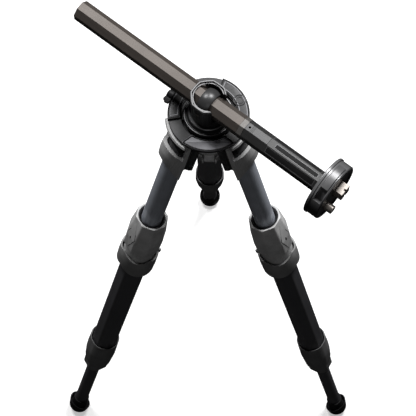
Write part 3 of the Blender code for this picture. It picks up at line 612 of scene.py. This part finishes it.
class Finishes(bpy.types.PropertyGroup):
    casting: colour("Casting", "Top plate and turntable", (0.015, 0.015, 0.016))
    inner: colour("Inner castings", "Hinge castings", (0.012, 0.012, 0.013))
    cover: colour("Covers", "Hinge covers and angle selectors", (0.46, 0.46, 0.46))
    tube: colour("Upper tubes", "Anodised upper tubes", (0.46, 0.49, 0.55))
    black_tube: colour("Middle tubes", "Anodised middle and lower tubes", (0.10, 0.10, 0.108))
    collar: colour("Upper collars", "Collars and quick levers", (0.62, 0.62, 0.62))
    lower_collar: colour("Lower collars", "Collars above the feet", (0.17, 0.17, 0.172))
    column: colour("Column", "Anodised column", (0.066, 0.057, 0.051))
    head_end: colour("Head end", "The column's slotted end", (0.034, 0.034, 0.034))
    band: colour("Band", "The band round the column", (0.10, 0.095, 0.09))
    panel: colour("Tongue", "The tongue along the head end", (0.055, 0.055, 0.056))
    gloss: colour("Gloss black", "Head plate and flange", (0.010, 0.010, 0.011))
    # This grey is also the painted highlight at the top of the head plate and flange.
    disc_grey: colour("Plate segment", "Grey parts of the head plate", (0.13, 0.13, 0.133))
    rim: colour("Rims", "The cradle's grey rims and the turntable's beads", (0.15, 0.15, 0.153))
    # The cup colour is painted shade that darkens the cradle's outer wall below its rims.
    cup: colour("Cradle", "The cradle's outside below its rims", (0.035, 0.035, 0.036))
    ball: colour("Ball", "The tilting ball", (0.045, 0.045, 0.046))
    rubber: colour("Rubber", "Feet", (0.009, 0.009, 0.010))
    steel: colour("Steel", "Stud, post and pins", (0.34, 0.31, 0.285))


class StudioSettings(bpy.types.PropertyGroup):
    camera_place: FloatVectorProperty(
        name="Camera", description="Camera position", default=(0.008, -0.9057, 2.8721), size=3
    )
    elevation: FloatProperty(
        name="Elevation",
        description="Camera tilt below the horizon",
        default=math.radians(69.2),
        subtype="ANGLE",
    )
    azimuth: FloatProperty(
        name="Azimuth",
        description="Camera heading from straight ahead",
        default=math.radians(-0.55),
        subtype="ANGLE",
    )
    lens: FloatProperty(name="Lens", description="Focal length in mm", default=134.4)
    floor_size: length("Floor", "Side of the floor", 12.0)
    key: FloatProperty(
        name="Key light", description="Power of the overhead light", default=75.0, unit="POWER"
    )


# ---- the legs ----
def hinge_cover(side, leg, s):
    """The grey cover: an arc wall whose ends rise to the plate.

    Its foot is -56 - 40 (1 - cos a); its top is -23 - 20 (1 - cos a) and steps up to -7
    past 71 degrees.
    """
    a = np.concatenate([np.linspace(-84, -72, 7), np.linspace(-70.5, 70.5, 61), np.linspace(72, 84, 7)])
    fall = 1 - np.cos(np.radians(a))
    step = 1 / (1 + np.exp(-(np.abs(a) - 71.2) * 3.0))
    top = (-23 - 20 * fall) * (1 - step) - 7 * step
    inner = s.cover_inner
    loops = arc_wall(a, inner, inner + s.cover_wall, -56 - 40 * fall, top, 0.9, 0.9)
    return grid_piece(
        f"{side}_hinge_shell", [skin(loops)], leg, "grey_cover", f"{side}_leg", (f"{side}_hinge_cover",)
    )


def tube_piece(side, name, leg, flat, corner, wall, top, end, finish, body):
    """An open tube: outer and inner skins joined by softened rims."""
    rows = [
        (flat, corner, -end, 0),
        (flat, corner, -top, 0),
        (flat - wall, corner - wall, -top, 0),
        (flat - wall, corner - wall, -end, 0),
    ]
    loops = lathe(soften(rows, 0.5), FINE)
    shells = [skin(loops, closed=True)]
    grid_piece(f"{side}_{name}_skin", shells, leg, finish, f"{side}_{body}", (f"{side}_{name}",))


def collar_rows(s):
    """The upper collar's profile: neck, shoulder, tapering body, mouth and inside."""
    r, top = s.collar, -s.collar_top
    neck = s.middle_corner + GAP + NECK_WALL
    flat, corner = s.middle_flat + GAP, s.middle_corner + GAP
    return [
        (neck, neck, -s.neck_end, 0),
        (neck, neck, -s.neck_top, 0),
        (r - 1.6, r + 0.2, -s.neck_top + 3, 0),
        (r - 0.8, r + 1.1, top - 46, 0),
        (r - 5.6, r - 4.2, top, 0.1),
        (r - 8, r - 8, top - 0.8, 0.1),
        (18.0, 18.0, top - 22, 0.05),
        (15.35, 15.35, top - 26, 0),
        (15.35, 15.35, top - 46, 0),
        (19.2, 19.2, top - 46, 0),
        (19.2, 19.2, -s.middle_top + GAP, 0),
        (flat, corner, -s.middle_top + GAP, 0),
        (flat, corner, -s.neck_end, 0),
    ]


def diamond(rows, middle, half_high, half_wide, proud):
    """Loops of a lozenge lying on the +X facet of a lathe.

    Down the leg its half width is half_wide (1 - |z - middle| / half_high), and its face
    stands proud of the facet that the rows give at that height.
    """
    sink = 1.2
    z = middle + half_high * np.linspace(-1, 1, 25)
    wide = half_wide * (1 - np.abs(z - middle) / half_high) + 0.3
    outer = np.array([(r[2], r[0]) for r in rows[1:5]])
    reach = np.interp(z, outer[:, 0], outer[:, 1])
    low, high = reach - sink, reach + proud
    x = np.stack([low, high, high, low], -1)
    y = np.stack([-wide, -wide + 0.25, wide - 0.25, wide], -1)
    return np.stack([x, y, np.broadcast_to(z[:, None], x.shape)], -1)


def upper_collar(side, leg, s):
    """The faceted collar with a boss for the lever's pin, its lozenge panel and a dark seal in its
    mouth, partly a real black seal and partly painted shade.
    """
    rows = collar_rows(s)
    far, near, half = -s.pin - 3.8, -22, 8
    outline = soften([(far, -half), (near, -half), (near, half), (far, half)], 1.2)
    boss = slab(outline, -s.pin_drop - 7, -s.pin_drop + 7, 0.8)
    shells = [skin(lathe(soften(rows, 1.2), FINE), closed=True), skin(boss)]
    body = f"{side}_middle"
    grid_piece(f"{side}_collar_body", shells, leg, "grey_plastic", body, (f"{side}_upper_collar",))
    middle = -s.collar_top - 42
    seam = skin(diamond(rows, middle, 35.5, 10.4, 0.08))
    grid_piece(f"{side}_collar_seam", [seam], leg, "inner_casting", body)
    panel = skin(diamond(rows, middle, 33, 9.4, 0.45))
    grid_piece(f"{side}_collar_panel", [panel], leg, "grey_plastic", body)
    mark = skin(diamond(rows, middle - 4, 4.5, 1.6, 0.55))
    grid_piece(f"{side}_collar_mark", [mark], leg, "inner_casting", body)
    top = -s.collar_top
    # The black ring lines the mouth's inner wall: partly a real black seal, partly painted shade inside
    # the mouth.
    mouth = [
        (15.5, 15.5, top - 8, 0.07),
        (17.6, 17.6, top - 2.0, 0.1),
        (20.0, 20.0, top - 1.4, 0.1),
        (20.4, 20.4, top - 4, 0.1),
        (17.0, 17.0, top - 20, 0.05),
        (15.5, 15.5, top - 20, 0.05),
    ]
    loops = lathe(soften(mouth, 0.8))
    grid_piece(f"{side}_collar_seal_and_mouth_shade", [skin(loops, closed=True)], leg, "foot_rubber", body)


def quick_lever(side, leg, s):
    """The U-shaped lever: an arc wall that dips towards its sides, with two ears."""
    inner = s.middle_corner + GAP + NECK_WALL + YOKE_GAP
    ear_inside, ear_middle, ear_outside = 8.6, 10.2, 11.4  # from the leg's own plane
    ear = 180 - math.degrees(math.asin(ear_middle / inner))
    a = np.linspace(-ear, ear, 91)
    side_on = np.minimum(np.abs(a), 90)
    low = -378 - 14 * np.sin(np.radians(side_on))
    dip = np.sin(np.radians(np.minimum(np.abs(a), 120) * 1.5))
    high = -334 - 14 * dip - 22 * np.maximum(0, np.abs(a) - 90) / (ear - 90)
    shells = [skin(arc_wall(a, inner + 0.1, inner + 2.8, low, high, 0.5, 1.0))]
    outline = [(4.2, -2.5), (4.2, 2.5), (1.5, 6), (-3, 6.5), (-7, 4), (-7, -4), (-3, -6.5), (1.5, -6)]
    outline = soften(outline, 2.0)
    for sign in (-1, 1):
        ear_loops = slab(outline, ear_inside, ear_outside, 0.6)
        x, z, y = ear_loops[..., 0] - s.pin, ear_loops[..., 1] - s.pin_drop, sign * ear_loops[..., 2]
        shells.append(skin(np.stack([x, y, z], -1)))
    grid_piece(
        f"{side}_lever_shell", shells, leg, "lever_plastic", f"{side}_lever", (f"{side}_quick_lever",)
    )


def lower_collar(side, leg, s):
    """The lower collar: a long slanted taper from a faceted mouth to the round tube."""
    r, top, end = s.foot_collar, -s.foot_collar_top, -s.foot_collar_end
    flat, corner = s.middle_flat + GAP, s.middle_corner + GAP
    land = s.lower + 0.35
    rows = [
        (s.lower + 3.2, s.lower + 3.2, end, 0),
        (r - 3.2, r - 2.4, end + 42, 0.5),
        (r - 0.6, r, end + 84, 0),
        (r - 1.6, r - 1.2, top, 0.1),
        (r - 3.6, r - 3.0, top - 0.8, 0.1),
        (flat, corner, top - 20, 0),
        (flat, corner, -s.middle_end - GAP, 0),
        (land, land, -s.middle_end - GAP, 0),
        (land, land, end, 0),
    ]
    shells = [skin(lathe(soften(rows, 1.4), FINE), closed=True)]
    node = f"{side}_lower_collar"
    grid_piece(f"{node}_body", shells, leg, "dark_plastic", f"{side}_middle", (node,))


def foot(side, leg, s):
    """The rubber foot: a sleeve, a flared lip that rises outwards, and a slanted sole."""
    bore, sleeve, lip, sole = s.lower + GAP, s.lower + 2.2, 19.4, 12.0
    slant = -abs(leg.axes[2, 0] / leg.axes[2, 2])
    rows = [
        (bore, bore, -s.lower_end - GAP, 0),
        (bore, bore, -SLEEVE_TOP, 0),
        (sleeve, sleeve, -SLEEVE_TOP, 0),
        (sleeve, sleeve, -s.leg + 19, 0.1),
        (lip - 4.0, lip - 4.0, -s.leg + 17, 0.2),
        (lip - 1.6, lip - 1.6, -s.leg + 29, 0.72),
        (lip + 0.4, lip + 0.4, -s.leg + 29, 0.74),
        (lip - 1.4, lip - 1.4, -s.leg + 12, 0.1),
        (sole, sole, -s.leg, slant),
    ]
    loops = lathe(np.concatenate([rows[:1], soften(rows, 0.7, closed=False)[1:]]))
    node = f"{side}_foot"
    grid_piece(f"{node}_rubber", [skin(loops)], leg, "foot_rubber", f"{side}_lower", (node,))


# ---- the head ----
def top_plate(head, s):
    """The plate: a ring with softened edges, and two raised lobes with a seam and a rib."""
    low, top = s.plate_low, s.plate_top
    ring = rounds([(s.groove, low), (s.plate, low), (s.plate, top), (s.groove, top)], 1.0)
    shells = [skin(lathe(ring, DISC), closed=True)]
    for azimuth in LOBES:
        edge = sector(azimuth, s.groove + 1, s.plate + 0.6, 40, 40)
        shells.append(skin(slab(edge, low + 2, top + s.lobe, 0.9)))
    grid_piece("plate_body", shells, head, "satin_casting", "head", ("top_plate",))

    top += s.lobe
    seams, ridges = [], []
    for azimuth in LOBES:
        edge = sector(azimuth, s.groove + 2.6, s.plate - 1.2, 37.5, 38)
        seams.append(skin(bead(edge, 1.3, top - 1, top + 0.1), closed=True))
        ridge = sector(azimuth, s.groove + 4.2, s.plate - 2.8, 33, 34.5)
        ridges.append(skin(bead(ridge, 1.0, top - 1, top + 0.35), closed=True))
    grid_piece("plate_seams", seams, head, "slot_black", "head")
    # The ridges take the lightened casting colour: painted light.
    grid_piece("plate_ridges", ridges, head, "casting_painted_light", "head")


def front_panel(head, s):
    """The blank front panel with a dark seam near its edge."""
    low, top = s.plate_top + 0.3, s.plate_top + s.lobe
    inner, outer = s.groove + 1.2, s.plate + 0.6
    edge = soften(sector(270, inner, outer, 35, 40), 0.8)
    face = skin(slab(edge, low, top, 0.7))
    # The panel face takes the lightened casting colour: painted light where the column's shadow falls.
    grid_piece("panel_face", [face], head, "casting_painted_light", "head", ("front_panel",))
    line = soften(sector(270, inner + 1.3, outer - 1.3, 33.2, 38.0), 0.8)
    seam = skin(bead(line, 1.7, top - 0.5, top + 0.12), closed=True)
    grid_piece("panel_seam", [seam], head, "slot_black", "head")


def port_cap(head, s):
    """The flush cap: concentric ribs and a shallow dish."""
    top = s.plate_top + s.lobe - 3
    reach, a = (s.groove + s.plate) / 2, math.radians(25)
    spot = head.at(reach * math.cos(a), reach * math.sin(a), top)
    r = s.port
    corners = [(0.01, 0.3), (r, 0.3), (r, 3.3), (r - 1.2, 3.6), (r - 1.5, 3.1), (r - 3.1, 3.1)]
    corners += [(r - 3.4, 3.4), (r - 4.4, 3.4), (r - 4.7, 3.1), (0.01, 3.2)]
    loops = lathe(rounds(corners, 0.25, closed=False), 64)
    grid_piece("port_face", [skin(loops)], spot, "satin_casting", "head", ("accessory_port_cap",))


def turntable(head, s):
    """The turning ring: steps that rise from its outer bead to the inner one."""
    r, low, top = s.turntable, s.plate_low + 0.3, s.plate_top
    corners = [
        (s.bore, low),
        (r, low),
        (r, top + 1.5),
        (r - 1.0, top + 3.0),
        (r - 2.2, top + 3.0),
        (r - 3.2, top + 2.0),
        (r - 4.6, top + 2.2),
        (r - 5.4, top + 5.5),
        (r - 6.4, top + 8.2),
        (r - 7.4, s.turntable_top),
        (s.bore, s.turntable_top),
    ]
    loops = lathe(rounds(corners, 0.45), DISC)
    grid_piece(
        "turntable_ring", [skin(loops, closed=True)], head, "satin_casting", "turntable", ("turntable",)
    )
    ring = [(r - 2.3, top + 2.6), (r - 1.1, top + 2.6), (r - 1.1, top + 3.2), (r - 2.3, top + 3.2)]
    shells = [skin(lathe(rounds(ring, 0.25), DISC), closed=True)]
    ring = [(r - 7.5, top + 8.6), (r - 6.2, top + 7.6), (r - 6.0, top + 8.2), (r - 7.3, top + 9.2)]
    shells.append(skin(lathe(rounds(ring, 0.2), DISC), closed=True))
    grid_piece("turntable_bead", shells, head, "rim_metal", "turntable")


def tilt_ball(column, s):
    """The ball: reach sqrt(R^2 - x^2) between its two flat ends, bored for the column."""
    x = np.linspace(-s.ball_half, s.ball_half, 33)
    reach = np.sqrt(s.ball**2 - x**2)
    outer = np.stack([reach, reach, x, 0 * x], -1)
    flat, corner = s.flat + 0.35, (s.flat + 0.35) / math.cos(math.pi / 8)
    ends = np.array([(flat, corner, -s.ball_half, 0), (flat, corner, s.ball_half, 0)])
    rows = np.concatenate([ends[:1], outer, ends[1:]])
    loops = along_x(lathe(rows))
    grid_piece("ball_shell", [skin(loops, closed=True)], column, "ball_metal", "ball", ("tilt_ball",))


def head_slot(column, flat, degrees, start, half):
    """One slot of the head end, turned about the column: a black floor and a grey rim."""
    side = column.about(0, degrees)
    end = HEAD_SLOT_END
    path = soften([(start, -half), (end, -half), (end, half), (start, half)], 1.0)
    rim = skin(bead(path, 0.8, flat - 0.4, flat + 0.2), closed=True)
    grid_piece(f"slot_rim_{degrees}", [rim], side, "disc_grey", "column")
    inlay = skin(slab(path, flat - 0.3, flat + 0.06, 0.05))
    grid_piece(f"slot_floor_{degrees}", [inlay], side, "slot_black", "column")


# ---- the studio ----
def add_floor(scene, size):
    """A square floor that lights and reflects in nothing."""
    half = size / 2
    corners = [(-half, -half, 0), (half, -half, 0), (half, half, 0), (-half, half, 0)]
    mesh = bpy.data.meshes.new("floor")
    mesh.from_pydata(corners, [], [(0, 1, 2, 3)])
    mesh.materials.append(material("studio_floor"))
    floor = bpy.data.objects.new("floor", mesh)
    scene.collection.objects.link(floor)
    floor.visible_glossy = False
    floor.visible_diffuse = False


def add_sky(scene):
    """A white world, far brighter to the camera than to the object."""
    world = bpy.data.worlds.new("studio")
    world.use_nodes = True
    sky = world.node_tree.nodes["Background"]
    sky.inputs["Color"].default_value = (1, 1, 1, 1)
    ray = world.node_tree.nodes.new("ShaderNodeLightPath")
    level = world.node_tree.nodes.new("ShaderNodeMapRange")
    level.inputs["To Min"].default_value = SKY_ON_OBJECT
    level.inputs["To Max"].default_value = SKY_IN_VIEW
    world.node_tree.links.new(ray.outputs["Is Camera Ray"], level.inputs["Value"])
    world.node_tree.links.new(level.outputs["Result"], sky.inputs["Strength"])
    scene.world = world


def add_lamp(scene, name, place, size, power, target):
    """A square soft light that looks at a point."""
    data = bpy.data.lights.new(name, "AREA")
    data.size = size
    data.energy = power
    lamp = bpy.data.objects.new(name, data)
    scene.collection.objects.link(lamp)
    lamp.location = place
    to = np.array(target, float) - np.array(lamp.location)
    flat = math.hypot(to[0], to[1])
    lamp.rotation_euler = (math.atan2(flat, -to[2]), 0, math.atan2(-to[0], to[1]))


def add_camera(scene, s):
    """The scene's camera, from the studio settings."""
    data = bpy.data.cameras.new("camera")
    data.sensor_width = 36.0
    data.lens = s.lens
    data.clip_end = 30.0
    data.shift_x, data.shift_y = LENS_SHIFT
    camera = bpy.data.objects.new("camera", data)
    scene.collection.objects.link(camera)
    camera.location = s.camera_place
    camera.rotation_euler = (math.pi / 2 - s.elevation, 0, -s.azimuth)
    scene.camera = camera


# ---- operators ----
class Builder:
    """What every builder shares: its label in the panel and one step of undo."""

    bl_options = {"REGISTER", "UNDO"}


class TRIPOD_OT_hinges(Builder, bpy.types.Operator):
    """Makes the hinge covers and castings and the angle selectors"""

    bl_idname = "tripod.hinges"
    bl_label = "Hinges"

    def execute(self, context):
        s = millimetres(context.scene.tripod_legs)
        head = head_frame()
        for side in SIDES:
            leg = leg_frame(side)
            hinge_cover(side, leg, s)
            rounded_copy(f"{side}_hinge_casting", leg, "inner_casting", f"{side}_leg", 0.6)
            rounded_copy(f"{side}_angle_selector", head, "grey_cover", f"{side}_selector", 0.4)
        return {"FINISHED"}


class TRIPOD_OT_tubes(Builder, bpy.types.Operator):
    """Makes the three tubes of every leg"""

    bl_idname = "tripod.tubes"
    bl_label = "Leg tubes"

    def execute(self, context):
        s = millimetres(context.scene.tripod_legs)
        for side in SIDES:
            leg = leg_frame(side)
            top, end = s.tube_top, s.tube_end
            tube_piece(side, "upper_tube", leg, s.tube, s.tube, 1.5, top, end, "blue_tube", "leg")
            flat, corner, top, end = s.middle_flat, s.middle_corner, s.middle_top, s.middle_end
            tube_piece(side, "middle_tube", leg, flat, corner, 1.6, top, end, "black_tube", "middle")
            top, end = s.lower_top, s.lower_end
            tube_piece(side, "lower_tube", leg, s.lower, s.lower, 1.4, top, end, "black_tube", "lower")
        return {"FINISHED"}


class TRIPOD_OT_collars(Builder, bpy.types.Operator):
    """Makes the collars and quick levers"""

    bl_idname = "tripod.collars"
    bl_label = "Collars and levers"

    def execute(self, context):
        s = millimetres(context.scene.tripod_legs)
        for side in SIDES:
            leg = leg_frame(side)
            upper_collar(side, leg, s)
            quick_lever(side, leg, s)
            lower_collar(side, leg, s)
        return {"FINISHED"}


class TRIPOD_OT_feet(Builder, bpy.types.Operator):
    """Makes the rubber feet"""

    bl_idname = "tripod.feet"
    bl_label = "Feet"

    def execute(self, context):
        s = millimetres(context.scene.tripod_legs)
        for side in SIDES:
            foot(side, leg_frame(side), s)
        return {"FINISHED"}


class TRIPOD_OT_head(Builder, bpy.types.Operator):
    """Makes the top plate, its panel and cap, the spider and the wing knob"""

    bl_idname = "tripod.head"
    bl_label = "Head"

    def execute(self, context):
        s = millimetres(context.scene.tripod_head)
        head = head_frame()
        top_plate(head, s)
        front_panel(head, s)
        port_cap(head, s)
        rounded_copy("spider_casting", head, "inner_casting", "head", 0.5)
        rounded_copy("wing_knob", head, "inner_casting", "wing_knob", 0.8)
        return {"FINISHED"}


class TRIPOD_OT_cradle(Builder, bpy.types.Operator):
    """Makes the turntable, the cradle and the tilting ball"""

    bl_idname = "tripod.cradle"
    bl_label = "Cradle"

    def execute(self, context):
        turntable(head_frame(), millimetres(context.scene.tripod_head))
        column = column_frame()
        # The cradle is darker below its rims: painted shade.
        rounded_copy("column_cradle", column, "cup_metal_painted_shade", "turntable", 0.5)
        # The liner is dark below its rim: painted shade inside the cradle.
        rounded_copy("cradle_liner", column, "cup_inside_painted_shade", "turntable", 0.3)
        tilt_ball(column, millimetres(context.scene.tripod_column))
        return {"FINISHED"}


class TRIPOD_OT_column(Builder, bpy.types.Operator):
    """Makes the column tube, its band and tongue, and the slotted head end"""

    bl_idname = "tripod.column"
    bl_label = "Column"

    def execute(self, context):
        column = column_frame()
        rounded_copy("column_tube", column, "column_metal", "column", 0.9)
        rounded_copy("column_band", column, "band_metal", "column", 0.25)
        rounded_copy("column_head_end", column, "head_metal", "column", 0.5)
        flat = context.scene.tripod_column.flat * 1000
        for slot in HEAD_SLOTS:
            head_slot(column, flat, *slot)
        return {"FINISHED"}


class TRIPOD_OT_head_plate(Builder, bpy.types.Operator):
    """Makes the flange, the head plate, its lever, stud and post"""

    bl_idname = "tripod.head_plate"
    bl_label = "Head plate"

    def execute(self, context):
        column = column_frame()
        # The flange and head plate turn grey towards their tops: a painted highlight.
        rounded_copy("head_flange", column, "gloss_black_painted_highlight", "column", 0.5)
        rounded_copy("head_disc", column, "gloss_black_painted_highlight", "column", 0.6)
        rounded_copy("head_lever", column, "disc_grey", "head_lever", 0.8)
        rounded_copy("camera_stud", column, "warm_steel", "camera_stud", 0.7)
        rounded_copy("locating_post", column, "warm_steel", "column", 0.6)
        return {"FINISHED"}


class TRIPOD_OT_kept(Builder, bpy.types.Operator):
    """Gives every node a finish, which shows on the small ones that keep their shape"""

    bl_idname = "tripod.kept"
    bl_label = "Small pieces"

    def execute(self, context):
        dark = ("stop_screw", "clamp_shoe")
        for name, node in frame["nodes"].items():
            finish = "hidden_black" if name.endswith(dark) else "hidden_steel"
            node.data.materials.clear()
            node.data.materials.append(material(finish))
        return {"FINISHED"}


class TRIPOD_OT_studio(Builder, bpy.types.Operator):
    """Makes the floor, the white world, the soft lights and the camera"""

    bl_idname = "tripod.studio"
    bl_label = "Studio"

    def execute(self, context):
        scene = context.scene
        s = scene.tripod_studio
        add_floor(scene, s.floor_size)
        add_sky(scene)
        for name, place, size, share, target in LAMPS:
            add_lamp(scene, name, place, size, s.key * share, target)
        add_camera(scene, s)
        scene.view_settings.view_transform = "Standard"
        return {"FINISHED"}


BUILDERS = (
    TRIPOD_OT_kept,
    TRIPOD_OT_hinges,
    TRIPOD_OT_tubes,
    TRIPOD_OT_collars,
    TRIPOD_OT_feet,
    TRIPOD_OT_head,
    TRIPOD_OT_cradle,
    TRIPOD_OT_column,
    TRIPOD_OT_head_plate,
    TRIPOD_OT_studio,
)


class TRIPOD_PT_panel(bpy.types.Panel):
    """The tripod's builders"""

    bl_idname = "TRIPOD_PT_panel"
    bl_label = "Tripod"
    bl_space_type = "VIEW_3D"
    bl_region_type = "UI"
    bl_category = "Tripod"

    def draw(self, context):
        for builder in BUILDERS:
            self.layout.operator(builder.bl_idname)


GROUPS = {
    "tripod_legs": LegSizes,
    "tripod_head": HeadSizes,
    "tripod_column": ColumnSizes,
    "tripod_finishes": Finishes,
    "tripod_studio": StudioSettings,
}


def register():
    """Adds the groups of settings, the builders and the panel."""
    for group in GROUPS.values():
        bpy.utils.register_class(group)
    for name, group in GROUPS.items():
        setattr(bpy.types.Scene, name, PointerProperty(type=group))
    for made in (*BUILDERS, TRIPOD_PT_panel):
        bpy.utils.register_class(made)


def unregister():
    """Takes them away again."""
    for made in (TRIPOD_PT_panel, *reversed(BUILDERS)):
        bpy.utils.unregister_class(made)
    for name, group in GROUPS.items():
        delattr(bpy.types.Scene, name)
        bpy.utils.unregister_class(group)


def main():
    """Builds every piece and the studio."""
    register()
    for builder in BUILDERS:
        getattr(bpy.ops.tripod, builder.bl_idname.split(".")[1])()


if __name__ == "__main__":
    main()
